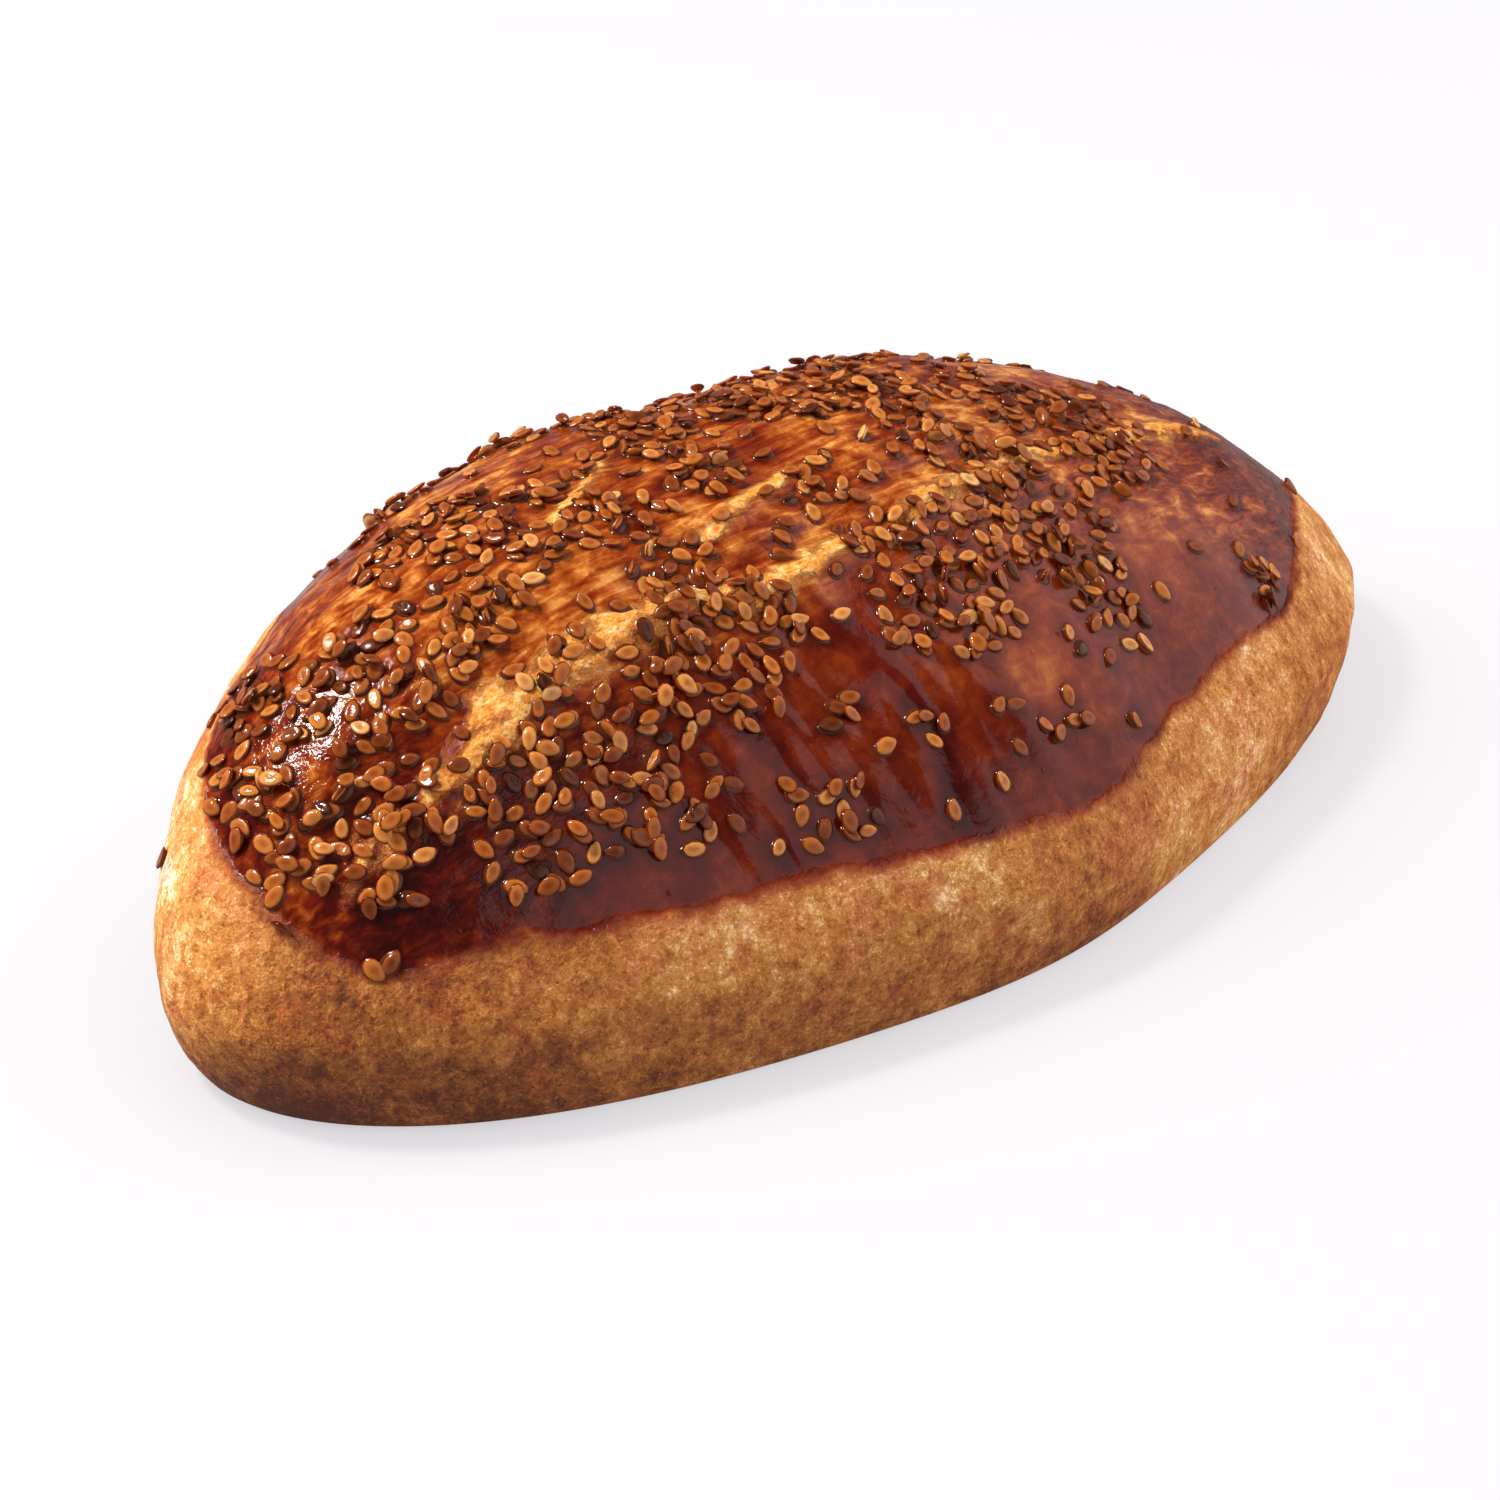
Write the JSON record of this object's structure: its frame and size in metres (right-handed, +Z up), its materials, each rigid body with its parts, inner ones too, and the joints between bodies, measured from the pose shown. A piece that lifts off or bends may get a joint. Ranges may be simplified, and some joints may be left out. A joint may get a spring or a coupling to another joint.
{
  "type": "sesame bread roll",
  "caption": "Long soft bread roll with a domed, brushed-glaze top, scattered sesame seeds baked onto it and a flat underside.",
  "frame": {"origin": "on the flat underside, below the middle of the roll's box", "axes": "+Z up, +X along the roll towards its slimmer end, -Y towards its near long side"},
  "size_m": [0.196, 0.0972, 0.0563],
  "materials": {
    "crust": "baked crust, golden tan low on the sides, under a glossy red-brown brushed glaze on top",
    "sesame": "toasted sesame seeds, caramel brown, glossy where the glaze covers them"
  },
  "bodies": {
    "root": {"bread_roll": "crust"}
  },
  "joints": []
}
